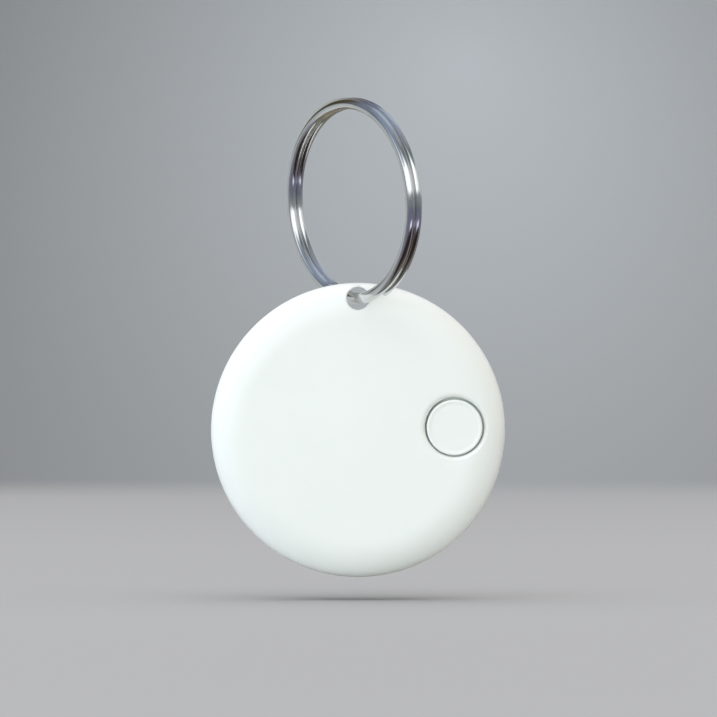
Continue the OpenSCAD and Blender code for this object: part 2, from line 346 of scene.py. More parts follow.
def front_blank():
    """A solid front half with its two holes, whose edges roll over smoothly."""
    outline = front_outline(0, 200)
    outline = outline[outline[:, 1] >= SEAM_Z + EDGE_BEVEL]
    table_r, table_z = outline[:, 0], outline[:, 1]
    table_s = np.concatenate([[0], np.cumsum(np.hypot(np.diff(table_r), np.diff(table_z)))])
    edge_s = table_s[-1]

    def unroll(xy):
        r = np.linalg.norm(xy, axis=1)
        return xy * (np.interp(r, table_r, table_s) / np.maximum(r, 1e-9))[:, None]

    def roll_up(flat):
        s = np.linalg.norm(flat, axis=1)
        return flat * (np.interp(s, table_s, table_r) / np.maximum(s, 1e-9))[:, None]

    points = [circle(edge_s, EDGE_COUNT)]
    loops = [list(range(EDGE_COUNT))]
    total = EDGE_COUNT
    for centre, radius, roll, count in HOLES:
        loops.append(list(range(total, total + count)))
        drops = np.linspace(0, math.pi / 2, 9)
        radii = list(radius + roll * (1 - np.cos(drops))) + [radius + roll + m for m in HOLE_MARGINS]
        for i, ring_r in enumerate(radii):
            ring = circle(ring_r, count, centre, 0.5 * (i % 2))
            ring = ring[np.linalg.norm(ring, axis=1) < table_r[-1] - 0.02]
            points.append(unroll(ring))
            total += len(ring)
    s = 0.45
    while s < edge_s - 0.12:
        step = SKIN_STEPS[0] if s < SKIN_FINE_S else SKIN_STEPS[1]
        ring = circle(s, max(6, round(TAU * s / (step * 1.1))), phase=SKIN_TURN * (s / step % 1))
        place = roll_up(ring)
        clear = np.ones(len(ring), dtype=bool)
        for centre, radius, roll, _ in HOLES:
            clear &= np.linalg.norm(place - centre, axis=1) > radius + roll + HOLE_MARGINS[1] + 0.12
        points.append(ring[clear])
        s += step
    flat = np.vstack(points)

    skin = filled(flat, loops)
    xy = roll_up(flat)
    z = np.interp(np.linalg.norm(flat, axis=1), table_s, table_z)
    for centre, radius, roll, _ in HOLES:
        inside = np.clip(roll - (np.linalg.norm(xy - centre, axis=1) - radius), 0, roll)
        z -= roll - np.sqrt(roll**2 - inside**2)
    verts = [np.column_stack([xy, z])]
    faces = [tuple(t) for t in skin]

    # The walls go down to the seam, where a plain face closes the blank.
    count = len(flat)
    floor_loops = []
    for k, loop in enumerate(loops):
        low = verts[0][loop].copy()
        if k == 0:
            low[:, :2] *= (BODY_R - EDGE_BEVEL) / np.linalg.norm(low[:, :2], axis=1)[:, None]
        low[:, 2] = SEAM_Z
        floor = list(range(count, count + len(loop)))
        for i in range(len(loop)):
            faces.append((loop[i - 1], loop[i], floor[i], floor[i - 1]))
        verts.append(low)
        floor_loops.append(floor)
        count += len(loop)
    verts = np.vstack(verts)
    floor_ids = np.concatenate(floor_loops)
    place = {int(v): i for i, v in enumerate(floor_ids)}

    floor = filled(verts[floor_ids][:, :2], [[place[v] for v in loop] for loop in floor_loops])
    faces += [tuple(floor_ids[t]) for t in floor]
    piece = raw_piece("front_cover", verts, faces)
    mend(piece)
    return piece


def mend(piece):
    """Turns every face of a closed mesh the same way, outwards."""
    bm = bmesh.new()
    bm.from_mesh(piece.data)
    bmesh.ops.recalc_face_normals(bm, faces=bm.faces)
    bm.to_mesh(piece.data)
    bm.free()
    if signed_volume(piece.data) < 0:
        piece.data.flip_normals()


def flared(radius, edge, z, reach, deep):
    """Outline of a cutter whose mouth, at height z, rolls outwards by edge on the reach side."""
    turns = np.linspace(0, math.pi / 2, 7)
    way = math.copysign(1, deep - reach)
    arc = [(radius + edge * (1 - math.sin(a)), z + way * edge * (1 - math.cos(a))) for a in turns]
    return [(0, reach), (radius + edge, reach)] + arc + [(radius, deep), (0, deep)]


def shell_cavity(outline, z_open):
    """The hollow of a shell, open past the seam, less the wall round the scoop."""
    closed = np.vstack([outline, [[outline[-1][0], z_open], [0, z_open]]])
    return cut(lathe("cavity", closed, segments=240), disc(SCOOP_R + WALL, -1, 9, (0, SCOOP_Y)))


def front_cover():
    """The front shell with its pocket behind the lanyard hole, screw bosses and sounder seat."""
    piece = front_blank()
    pocket = combine(
        disc(SCOOP_R, SEAM_Z - 1, SCOOP_DEPTH, (0, SCOOP_Y), 360),
        disc(BODY_R - BAR_T, SEAM_Z - 2, FRONT_Z, segments=360),
        "INTERSECT",
    )
    mouth = lathe("mouth", flared(HOLE_R, 0.2, SCOOP_DEPTH, SCOOP_DEPTH - 0.4, FRONT_Z), (0, HOLE_Y), 96)
    cut(piece, shell_cavity(front_outline(WALL, 24), SEAM_Z - 1), pocket, mouth)
    ceiling = FRONT_Z - CROWN - WALL + 0.1
    for angle in BOSS_ANGLES:
        a = math.radians(angle)
        add(piece, tube(*BOSS, ceiling, (BOSS_PCD_R * math.cos(a), BOSS_PCD_R * math.sin(a))))
    return add(piece, tube(*PIEZO_SEAT, ceiling, PIEZO), tube(*PIEZO_COLLAR, ceiling, PIEZO))


def pebble_back(p):
    """Signed distance to the rounded back, extended straight up past the seam."""
    t = np.maximum(np.hypot(p[:, 0], p[:, 1]) - BACK_FLAT_R, 0) / (BODY_R - BACK_FLAT_R)
    w = np.maximum(SEAM_Z - p[:, 2], 0) / SEAM_Z
    q = np.maximum(t**BACK_POWER + w**BACK_POWER, 1e-6) ** (1 / BACK_POWER)
    slope = np.hypot(
        (t / q) ** (BACK_POWER - 1) / (BODY_R - BACK_FLAT_R), (w / q) ** (BACK_POWER - 1) / SEAM_Z
    )
    return (q - 1) / np.maximum(slope, 0.02)


def back_field(p):
    """The pebble's back less the scoop, with the edge between them rounded."""
    pebble = pebble_back(p)
    scoop = SCOOP_R - np.hypot(p[:, 0], p[:, 1] - SCOOP_Y)
    rho = SCOOP_ROLL
    corner = np.hypot(np.maximum(rho + pebble, 0), np.maximum(rho + scoop, 0))
    return np.minimum(-rho, np.maximum(pebble, scoop)) + corner


def surface_net(field, low, high, step):
    """A closed quad mesh of the field's zero surface, with its points moved onto it."""
    axes = [np.arange(low[k], high[k] + step, step) for k in range(3)]
    shape = tuple(len(a) for a in axes)
    grid = np.stack(np.meshgrid(*axes, indexing="ij"), axis=-1)
    value = field(grid.reshape(-1, 3)).reshape(shape)
    inside = value < 0
    total = np.zeros(tuple(n - 1 for n in shape) + (3,))
    count = np.zeros(tuple(n - 1 for n in shape))
    crossings = []
    for k in range(3):
        near = tuple(slice(0, -1) if j == k else slice(None) for j in range(3))
        far = tuple(slice(1, None) if j == k else slice(None) for j in range(3))
        cross = np.argwhere(inside[near] != inside[far])
        i, j = tuple(cross.T), tuple((cross + np.eye(3, dtype=int)[k]).T)
        t = value[i] / (value[i] - value[j])
        point = grid[i] + (grid[j] - grid[i]) * t[:, None]
        crossings.append((k, cross, inside[i]))
        u, v = (k + 1) % 3, (k + 2) % 3
        for du in (0, 1):
            for dv in (0, 1):
                cell = cross.copy()
                cell[:, u] -= du
                cell[:, v] -= dv
                np.add.at(total, tuple(cell.T), point)
                np.add.at(count, tuple(cell.T), 1)
    cells = np.argwhere(count > 0)
    index = -np.ones(count.shape, dtype=int)
    index[tuple(cells.T)] = np.arange(len(cells))
    verts = total[tuple(cells.T)] / count[tuple(cells.T)][:, None]
    quads = []
    for k, cross, first_inside in crossings:
        u, v = (k + 1) % 3, (k + 2) % 3
        corners = []
        for du, dv in ((1, 1), (0, 1), (0, 0), (1, 0)):
            cell = cross.copy()
            cell[:, u] -= du
            cell[:, v] -= dv
            corners.append(index[tuple(cell.T)])
        quad = np.stack(corners, axis=1)
        quads.append(np.where(first_inside[:, None], quad, quad[:, ::-1]))
    small = 1e-3
    for _ in range(4):
        here = field(verts)
        slope = np.stack([
            (field(verts + small * e) - field(verts - small * e)) / (2 * small) for e in np.eye(3)
        ], axis=1)
        verts -= slope * (here / np.maximum((slope**2).sum(axis=1), 0.05))[:, None]
    return verts, np.vstack(quads)


def back_cover():
    """The back shell with its lip, the door's bore and collar, and the pry notch."""
    reach = BODY_R + 0.7
    top = SEAM_Z + 0.8
    # The field runs past the top, where a lid closes it.
    verts, quads = surface_net(
        lambda p: np.maximum(back_field(p), p[:, 2] - top),
        (-reach, -reach, -0.7), (reach, reach, top + 0.6), NET_STEP,
    )
    piece = raw_piece("back_cover", verts, quads)
    bevel = EDGE_BEVEL
    above_seam = lathe("above", [
        (0, SEAM_Z), (BODY_R - bevel, SEAM_Z), (BODY_R + 1, SEAM_Z - bevel - 1),
        (BODY_R + 1, SEAM_Z + 3), (0, SEAM_Z + 3),
    ], segments=360)
    cut(piece, above_seam, shell_cavity(back_outline(WALL, 24), SEAM_Z + 1))
    lap = add(
        tube(LAP_R - LAP_T, LAP_R, SEAM_Z - LAP_H, SEAM_Z + LAP_H),
        tube(LAP_R - LAP_T, BODY_R - WALL / 2, SEAM_Z - LAP_H, SEAM_Z),
    )
    cut(lap, disc(SCOOP_R + WALL + 0.05, -1, 9, (0, SCOOP_Y)))
    pad = disc(PRY_R + PRY_PAD_T, WALL - 0.1, PRY_DEPTH + PRY_PAD_T, (0, -DOOR_R), 96)
    add(piece, lap, tube(BORE_R - 0.2, BORE_R + COLLAR_T, DOOR_T - 0.2, COLLAR_Z), pad)
    mouth = flared(DOOR_R + DOOR_GAP, EASE, 0, -1, DOOR_T)
    bore = lathe("bore", mouth[:-1] + [(BORE_R + 0.1, DOOR_T), (BORE_R, DOOR_T + 0.1), (BORE_R, 5), (0, 5)])
    notch = lathe("notch", flared(PRY_R, EASE, 0, -1, PRY_DEPTH), (0, -DOOR_R), 96)
    return cut(piece, bore, notch)


def battery_door():
    """The door's flat face with a fine ring groove near its rim, its skirt and the groove for its O-ring.
    """
    groove = O_RING_R - O_RING_D / 2 - 0.02
    groove_low, groove_high = O_RING_Z - GROOVE_W / 2, O_RING_Z + GROOVE_W / 2
    outline = rounded([
        (0, 0, 0), (DOOR_R - 1.3, 0, 0), (DOOR_R - 1.22, 0.08, 0), (DOOR_R - 1.14, 0.08, 0),
        (DOOR_R - 1.06, 0, 0), (DOOR_R, 0, 0.22), (DOOR_R, DOOR_T, 0.1), (SKIRT_R, DOOR_T, 0),
        (SKIRT_R, groove_low, 0.06), (groove, groove_low, 0.1), (groove, groove_high, 0.1),
        (SKIRT_R, groove_high, 0.06), (SKIRT_R, SKIRT_Z, 0.15), (SKIRT_R - SKIRT_T, SKIRT_Z, 0.15),
        (SKIRT_R - SKIRT_T, DOOR_T, 0.2), (0, DOOR_T, 0),
    ])
    return lathe("door_shell", outline, segments=240)


def o_ring():
    """The door's O-ring, with a fine moulding flash round its outer and inner edges."""
    outline = []
    for k in range(32):
        a = TAU * k / 32
        radius = O_RING_D / 2 + (0.015 if k % 16 == 0 else 0)
        outline.append((O_RING_R + radius * math.cos(a), O_RING_Z + radius * math.sin(a)))
    return lathe("o_ring", outline, segments=240)


def push_button():
    """The button's cap with its rounded edge, retaining flange and centre nub."""
    centre = BUTTON - np.array([0, BUTTON_SAG])
    outline = rounded([
        (0, BUTTON_BASE, 0), (FLANGE_IN, BUTTON_BASE, 0), (BUTTON_R, BUTTON_BASE, 0.04),
        (BUTTON_R, CAP_Z, 0.04), (CAP_R, CAP_Z, 0.08), (CAP_R, BUTTON_TOP, 0.2),
        (CAP_R - DISH_EDGE[0], BUTTON_TOP, 0.3), (CAP_R - DISH_EDGE[1], BUTTON_TOP - CAP_DISH, 0.6),
        (0, BUTTON_TOP - CAP_DISH, 0),
    ], steps=10)
    hollow = lathe("hollow", rounded([
        (NUB_R, BUTTON_BASE - 1, 0), (FLANGE_IN, BUTTON_BASE - 1, 0), (FLANGE_IN, CAP_Z, 0.08),
        (NUB_R, CAP_Z, 0.08),
    ]), centre, 150)
    above_nub = disc(FLANGE_IN - 0.2, BUTTON_BASE - 2, NUB_Z, centre)
    return cut(lathe("button", outline, centre, 150), hollow, above_nub)


def cell_can():
    """The coin cell's can, crimped at its edge, with a plus sign raised on its face."""
    outline = rounded([
        (0, CELL_Z, 0), (CELL_R, CELL_Z, 0.5), (CELL_R, CELL_TOP - 0.2, 0.2),
        (CELL_R - 0.5, CELL_TOP - 0.35, 0.08), (CELL_R - CAN_T, CELL_TOP - 0.75, 0.05),
        (CELL_R - CAN_T, CELL_Z + CAN_T, 0.15), (0, CELL_Z + CAN_T, 0),
    ])
    piece = lathe("cell_shell", outline, segments=240)
    for x, y in (PLUS_BAR, PLUS_BAR[::-1]):
        add(piece, block((-x, PLUS_Y - y, CELL_Z - PLUS_H), (x, PLUS_Y + y, CELL_Z + 0.1)))
    return piece


# ---- the key ring ----

RING_YAW = math.radians(37.5)
RING_TIP = math.radians(4.1)
WIRE_W = 1.4
WIRE_T = 1.0
WIRE_R = 11.9
TURN_PITCH = 1.05
FIRST_END = math.radians(21)
LAST_END = math.radians(25)
WIRE_STEPS = 900
WIRE_POINTS = 28
END_TAPER = (0.018, 0.22)   # angle over which each end narrows, and by how much


def ring_vectors():
    """The ring's axis, its tangent at the hole and the way to its middle, in the row's frame."""
    axis = np.array([
        math.cos(RING_YAW) * math.cos(RING_TIP), math.sin(RING_YAW) * math.cos(RING_TIP),
        math.sin(RING_TIP),
    ])
    tangent = np.array([math.sin(RING_YAW), -math.cos(RING_YAW), 0])
    return axis, tangent, np.cross(tangent, axis)


def key_ring():
    """The split ring, swept along two turns of flattened wire with bevelled ends."""
    axis, tangent, up = ring_vectors()
    first, last = FIRST_END, 2 * TAU - LAST_END
    end_steps = np.array([0, 0.004, 0.01, 0.018, 0.03])
    angle = np.concatenate([
        first + end_steps, np.linspace(first + 0.045, last - 0.045, WIRE_STEPS), last - end_steps[::-1],
    ])
    ends = np.minimum(angle - first, last - angle) / END_TAPER[0]
    scale = 1 - END_TAPER[1] * (1 - np.clip(ends, 0, 1)) ** 2
    s = np.clip((angle - TAU + LAST_END) / (LAST_END + FIRST_END), 0, 1)
    shift = TURN_PITCH / 2 - TURN_PITCH * s * s * (3 - 2 * s)
    out = tangent * np.sin(angle)[:, None] - up * np.cos(angle)[:, None]
    middle = WIRE_R * (up + out) + axis * shift[:, None]
    b = TAU * np.arange(WIRE_POINTS) / WIRE_POINTS
    wide, thick = WIRE_W / 2 * np.cos(b), WIRE_T / 2 * np.sin(b)
    verts = (
        middle[:, None, :] + out[:, None, :] * (wide * scale[:, None])[..., None]
        + axis * (thick * scale[:, None])[..., None]
    ).reshape(-1, 3)
    low, high = (np.array(corner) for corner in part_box("split_ring"))
    verts = verts * MM
    verts += (low + high) / 2 - (verts.min(axis=0) + verts.max(axis=0)) / 2
    faces, places = [], []
    n, turns = WIRE_POINTS, len(angle)
    length = (angle - first) * WIRE_R
    around = np.concatenate([[0], np.cumsum(np.hypot(np.diff(wide), np.diff(thick)))])
    around = np.append(around, around[-1] + math.hypot(wide[0] - wide[-1], thick[0] - thick[-1]))
    for i in range(turns - 1):
        for k in range(n):
            k2 = (k + 1) % n
            faces.append((i * n + k, i * n + k2, (i + 1) * n + k2, (i + 1) * n + k))
            places += [
                (length[i], around[k]), (length[i], around[k + 1]),
                (length[i + 1], around[k + 1]), (length[i + 1], around[k]),
            ]
    faces += [tuple(range(n))[::-1], tuple(range((turns - 1) * n, turns * n))]
    places += [(wide[k], thick[k]) for k in range(n)][::-1] + [(wide[k], thick[k]) for k in range(n)]
    mesh = bpy.data.meshes.new("key_ring")
    mesh.from_pydata([tuple(v) for v in verts], [], faces)
    wire = mesh.uv_layers.new(name="wire")
    wire.data.foreach_set("uv", np.array(places, dtype=float).ravel())
    if signed_volume(mesh) < 0:
        mesh.flip_normals()
    mesh.shade_smooth()
    mesh.set_sharp_from_angle(angle=math.radians(50))
    piece = bpy.data.objects.new("key_ring", mesh)
    bpy.context.scene.collection.objects.link(piece)
    return piece


# ---- materials ----


class Nodes:
    """A small helper that adds shader nodes to a tree and joins them up."""

    def __init__(self, tree):
        self.tree = tree

    def add(self, kind, inputs=None, **settings):
        node = self.tree.nodes.new(kind)
        for name, value in settings.items():
            setattr(node, name, value)
        for name, value in (inputs or {}).items():
            if isinstance(value, bpy.types.NodeSocket):
                self.tree.links.new(value, node.inputs[name])
            else:
                node.inputs[name].default_value = value
        return node

    def noise(self, place, size_mm, detail=2.0, rough=0.5, unit=MM):
        """Fac of a noise texture whose grain is size_mm across."""
        return self.add("ShaderNodeTexNoise", {
            "Vector": place, "Scale": 1 / (size_mm * unit), "Detail": detail, "Roughness": rough,
        }).outputs["Fac"]

    def spread(self, value, low, high, start=0.35, stop=0.65):
        """Stretches start to stop over low to high: by default the middle of a noise."""
        return self.add("ShaderNodeMapRange", {
            "Value": value, "From Min": start, "From Max": stop, "To Min": low, "To Max": high,
        }).outputs["Result"]

    def mix(self, factor, a, b):
        node = self.add("ShaderNodeMix", {0: factor, 6: a, 7: b}, data_type="RGBA")
        return node.outputs[2]

    def join(self, mode, a, b):
        return self.add("ShaderNodeMath", {0: a, 1: b}, operation=mode).outputs[0]

    def vector(self, mode, a, b=None):
        inputs = {0: a} if b is None else {0: a, 1: b}
        return self.add("ShaderNodeVectorMath", inputs, operation=mode)


def rgba(colour):
    return (*colour, 1.0)


def surface(name, colour, tint, rough, mottle=6.0, grain=0.2, bump=0.002, stretch=None, uv=None,
            dents=None, **sockets):
    """A Principled material: two close tints, and a grain that moves roughness and bump.
    Sizes are in millimetres. stretch scales the grain's place, dents is (size, height)."""
    material = bpy.data.materials.new(name)
    material.use_nodes = True
    nodes = Nodes(material.node_tree)
    shader = material.node_tree.nodes["Principled BSDF"]
    unit = MM
    if uv:
        place = nodes.add("ShaderNodeUVMap", uv_map=uv).outputs["UV"]
        unit = 1
    else:
        place = nodes.add("ShaderNodeTexCoord").outputs["Object"]
    fine = place
    if stretch:
        fine = nodes.add("ShaderNodeMapping", {"Vector": place, "Scale": stretch}).outputs["Vector"]
    blotch = nodes.noise(place, mottle, 3.0, 0.6, unit)
    grit = nodes.noise(fine, grain, 4.0, 0.6, unit)
    links = material.node_tree.links
    links.new(nodes.mix(nodes.spread(blotch, 0, 1), rgba(colour), rgba(tint)), shader.inputs["Base Color"])
    worn = nodes.join("ADD", nodes.join("MULTIPLY", grit, 0.6), nodes.join("MULTIPLY", blotch, 0.4))
    links.new(nodes.spread(worn, *rough), shader.inputs["Roughness"])
    height = nodes.join("MULTIPLY", grit, bump * MM)
    if dents:
        dent = nodes.noise(place, dents[0], 2.0, 0.5, unit)
        height = nodes.join("ADD", height, nodes.join("MULTIPLY", dent, dents[1] * MM))
    normal = nodes.add("ShaderNodeBump", {"Height": height, "Strength": 1.0, "Distance": 1.0})
    links.new(normal.outputs["Normal"], shader.inputs["Normal"])
    for socket, value in sockets.items():
        shader.inputs[socket.replace("_", " ")].default_value = value
    return material


def plastic(name, colour, tint, rough, **more):
    return surface(name, colour, tint, rough, mottle=9, grain=0.12, bump=0.0012,
                   Subsurface_Weight=0.12, Subsurface_Scale=0.001, IOR=1.53,
                   Subsurface_Radius=(1.0, 0.9, 0.8), **more)


def metal(name, colour, tint, rough, **more):
    return surface(name, colour, tint, rough, Metallic=1.0, **more)


WHITE = (0.885, 0.905, 0.892)
WHITE_TINT = (0.873, 0.894, 0.880)
MATERIALS = {
    "shell_white": plastic("shell_white", WHITE, WHITE_TINT, (0.30, 0.37)),
    "button_white": plastic("button_white", WHITE, WHITE_TINT, (0.32, 0.40)),
    "door_white": plastic("door_white", WHITE, WHITE_TINT, (0.38, 0.47)),
    "ring_nickel": metal("ring_nickel", (0.79, 0.795, 0.80), (0.72, 0.725, 0.73), (0.07, 0.15), uv="wire",
                         mottle=2.5, grain=1.0, stretch=(0.35, 9, 1), bump=0.0015, dents=(3.0, 0.012)),
    "board_green": surface("board_green", (0.02, 0.14, 0.06), (0.03, 0.19, 0.08), (0.25, 0.4), mottle=1.2),
    "screw_steel": metal("screw_steel", (0.62, 0.61, 0.59), (0.5, 0.5, 0.49), (0.2, 0.38), mottle=0.8),
    "part_steel": metal("part_steel", (0.72, 0.72, 0.70), (0.62, 0.62, 0.61), (0.2, 0.35), mottle=1.5),
    "chip_black": surface("chip_black", (0.018, 0.018, 0.02), (0.03, 0.03, 0.032), (0.4, 0.6), mottle=0.7,
                          grain=0.06),
    "switch_black": surface("switch_black", (0.02, 0.02, 0.021), (0.035, 0.035, 0.036), (0.4, 0.55),
                            mottle=0.7, grain=0.08),
    "antenna_ceramic": surface("antenna_ceramic", (0.75, 0.73, 0.66), (0.66, 0.63, 0.55), (0.45, 0.6),
                               mottle=0.8, grain=0.1),
    "passive_mix": surface("passive_mix", (0.42, 0.30, 0.19), (0.20, 0.13, 0.09), (0.4, 0.6), mottle=0.9,
                           grain=0.1),
    "piezo_brass": metal("piezo_brass", (0.80, 0.58, 0.26), (0.68, 0.46, 0.20), (0.22, 0.4), mottle=2.5),
    "piezo_silver": metal("piezo_silver", (0.86, 0.84, 0.80), (0.74, 0.71, 0.66), (0.4, 0.6), mottle=1.5),
    "foam_black": surface("foam_black", (0.03, 0.03, 0.03), (0.05, 0.05, 0.05), (0.8, 0.95), mottle=0.6,
                          grain=0.15, bump=0.02),
    "contact_gold": metal("contact_gold", (0.95, 0.72, 0.36), (0.85, 0.62, 0.30), (0.15, 0.3), mottle=1.0),
    "carrier_black": surface("carrier_black", (0.028, 0.029, 0.031), (0.04, 0.041, 0.043), (0.42, 0.6),
                             mottle=2, grain=0.1, bump=0.004),
    "cell_steel": metal("cell_steel", (0.66, 0.67, 0.68), (0.60, 0.61, 0.62), (0.2, 0.3), mottle=3,
                        grain=0.25, bump=0.0006),
    "cell_gasket": surface("cell_gasket", (0.70, 0.71, 0.70), (0.62, 0.63, 0.62), (0.45, 0.6), mottle=1),
    "cell_fill": surface("cell_fill", (0.05, 0.05, 0.05), (0.09, 0.09, 0.088), (0.7, 0.9), mottle=1,
                         grain=0.15, bump=0.01),
    "o_ring_black": surface("o_ring_black", (0.012, 0.012, 0.013), (0.02, 0.02, 0.021), (0.35, 0.5),
                            mottle=0.8, grain=0.1),
}


# ---- the pieces ----


def dress_nodes():
    """Every CAD node gets the material of its slot in the record."""
    for part in frame["record"]["subparts"]:
        materials = frame["nodes"][part["node"]].data.materials
        materials.clear()
        materials.append(MATERIALS[part["material_slot"]])


def build_pieces():
    """Makes every piece, and fits each to its body, slot and CAD nodes."""
    plan = (
        (front_cover(), "front_cover", "shell_white", "tag", ("front_shell",)),
        (back_cover(), "back_cover", "shell_white", "tag", ("back_shell",)),
        (push_button(), "push_button", "button_white", "button", ("button_cap",)),
        (battery_door(), "door_cover", "door_white", "door", ("battery_door",)),
        (o_ring(), "door_seal", "o_ring_black", "door", ("door_o_ring",)),
        (cell_can(), "cell_can", "cell_steel", "tag", ("battery_can",)),
    )
    for piece, name, slot_name, body, nodes in plan:
        piece.name = piece.data.name = name
        finish_piece(piece, MATERIALS[slot_name], body, nodes)
    ring = key_ring()
    ring.data.materials.append(MATERIALS["ring_nickel"])
    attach(ring, "ring")
    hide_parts("split_ring")


dress_nodes()
build_pieces()


# ---- stage, light and camera ----

FLOOR_Z = CAD_BOX[0][2] - 0.0028
FLOOR_FRONT = -1.6
FLOOR_HALF_W = 1.8
WALL_Y = 0.75
WALL_TOP = 0.5
SWEEP_R = 0.35
FLOOR_GREY = (0.45, 0.455, 0.465)
# The wall's colour has a pool of light painted into it: a bright bluish grey in the middle, fading to a dim
# grey past its edge.
PAINTED_POOL_GREY = (0.664, 0.72, 0.767)
PAINTED_DIM_WALL_GREY = (0.202, 0.208, 0.212)
PAINTED_POOL_CENTRE = (0.027, 0, 0.084)   # the middle of the pool of light painted on the wall, seen from the front
POOL_R = 0.226                  # where the painted pool of light has faded out, and the width of its soft edge
POOL_SOFT = 0.313
WALL_BLEND = 0.004              # height over which the floor's grey turns into the wall's
FAR = 9                         # past everything on the stage
DOME_R = 0.3

WORLD_BASE = (0.25, 0.25, 0.25)
WORLD_TOP = (1.56, 1.54, 1.53)
WORLD_RISE = (0.3, 0.9)         # height of a direction from which the sky brightens, and to which
LENS_MM, SENSOR_MM = 250, 36
EYE = (0.00005, -0.6154, 0.00874)

LIGHTS = (              # name, place, width and height, watts, colour
    ("key", (-0.50, -0.40, 0.62), (0.8, 0.8), 0.5, (0.497, 0.699, 1)),
    ("front_fill", (-0.15, -1.0, 0.2), (1.0, 0.5), 0.1, (1, 1, 1)),
    ("right_fill", (0.9, -0.3, 0.12), (0.5, 0.5), 0.51, (1, 0.486, 0)),
    ("left_fill", (-0.9, -0.3, 0.05), (0.5, 0.4), 6.03, (0.819, 0.893, 1)),
    ("low_fill", (0.0, -0.55, -0.005), (0.8, 0.02), 1.25, (0.888, 1, 0.91)),
)
OFF_FLOOR = ("left_fill", "low_fill")    # lights too near the floor to light it evenly

# What the ring reflects: a dome of soft bands and patches. Azimuth is in degrees from the
# camera's side towards the right, and elevation is in degrees from the horizon.
FRONT_BANDS = (         # elevation, colour
    (-90, (0.17, 0.16, 0.12)), (-72, (0.18, 0.17, 0.15)), (-60, (0.045, 0.037, 0.035)),
    (-40, (0.023, 0.017, 0.015)), (-31, (0.045, 0.037, 0.045)), (-23, (0.18, 0.17, 0.25)),
    (-12, (0.15, 0.16, 0.21)), (-5, (0.23, 0.25, 0.27)), (4, (0.28, 0.3, 0.31)), (9, (0.83, 0.86, 0.88)),
    (26, (0.83, 0.85, 0.85)), (33, (0.28, 0.32, 0.34)), (45, (0.15, 0.17, 0.18)), (57, (0.38, 0.4, 0.41)),
    (66, (0.3, 0.32, 0.39)), (78, (0.45, 0.52, 0.62)), (90, (0.54, 0.63, 0.76)),
)
BACK_BANDS = (
    (-90, (0.1, 0.09, 0.052)), (-72, (0.13, 0.12, 0.072)), (-55, (0.26, 0.24, 0.17)),
    (-42, (0.2, 0.16, 0.13)), (-30, (0.18, 0.15, 0.11)), (-18, (0.46, 0.48, 0.46)),
    (-6, (0.48, 0.51, 0.52)), (5, (0.45, 0.48, 0.49)), (20, (0.5, 0.54, 0.51)), (33, (0.46, 0.48, 0.44)),
    (43, (0.26, 0.26, 0.21)), (54, (0.18, 0.19, 0.18)), (64, (0.16, 0.17, 0.26)), (76, (0.4, 0.48, 0.6)),
    (90, (0.54, 0.63, 0.76)),
)
BACK_SIDE = (-142, 38)  # azimuth and half width
PATCHES = (             # azimuth, half width, lowest and highest elevation, softness, colour
    (-58, 20, -1, 6, 3, (1.15, 1.2, 1.25)),
    (-32, 20, 2, 20, 4, (1.6, 1.65, 1.7)),
    (0, 16, 6, 28, 5, (1.3, 1.33, 1.35)),
    (110, 38, 8, 26, 5, (0.52, 0.54, 0.53)),
    (110, 34, -60, -26, 9, (0.23, 0.2, 0.19)),
    (-82, 6, -60, -8, 4, (0.21, 0.21, 0.23)),
    (-108, 12, -40, -16, 5, (0.57, 0.6, 0.6)),
    (165, 22, -82, -22, 6, (0.22, 0.21, 0.13)),
    (178, 9, 10, 60, 4, (0.13, 0.13, 0.22)),
    (143, 14, 22, 60, 7, (0.5, 0.57, 0.69)),
    (-66, 22, 15, 60, 6, (0.26, 0.32, 0.43)),
    (-97, 7, 4, 60, 4, (0.18, 0.21, 0.26)),
    (-113, 7, 6, 44, 4, (0.076, 0.063, 0.036)),
    (5, 24, -28, -24, 2, (0.85, 0.85, 1.05)),
)


def stage_mesh(name, verts, faces, material):
    """A smooth mesh that belongs to the stage and not to the object."""
    mesh = bpy.data.meshes.new(name)
    mesh.from_pydata(verts, [], faces)
    mesh.shade_smooth()
    mesh.materials.append(material)
    piece = bpy.data.objects.new(name, mesh)
    bpy.context.scene.collection.objects.link(piece)
    return piece


def backdrop_grey():
    """Matt paper: a pale floor, and a wall with a soft pool of light painted into its grey behind the
    object.
    """
    material = surface("backdrop_grey", FLOOR_GREY, FLOOR_GREY, (0.6, 0.8), mottle=120, grain=3,
                       bump=0.01, Specular_IOR_Level=0.0)
    nodes = Nodes(material.node_tree)
    place = nodes.add("ShaderNodeTexCoord").outputs["Object"]
    height = nodes.add("ShaderNodeSeparateXYZ", {"Vector": place}).outputs["Z"]
    upright = nodes.vector("MULTIPLY", place, (1, 0, 1)).outputs["Vector"]
    off = nodes.vector("DISTANCE", upright, PAINTED_POOL_CENTRE).outputs["Value"]
    on_wall = window(nodes, height, FLOOR_Z + WALL_BLEND, FAR, WALL_BLEND)
    # Painted light: the wall's grey is bright inside the pool and dims past it.
    past_painted_pool = window(nodes, off, POOL_R, FAR, POOL_SOFT)
    wall = nodes.mix(past_painted_pool, rgba(PAINTED_POOL_GREY), rgba(PAINTED_DIM_WALL_GREY))
    shader = material.node_tree.nodes["Principled BSDF"]
    nodes.tree.links.new(nodes.mix(on_wall, rgba(FLOOR_GREY), wall), shader.inputs["Base Color"])
    return material


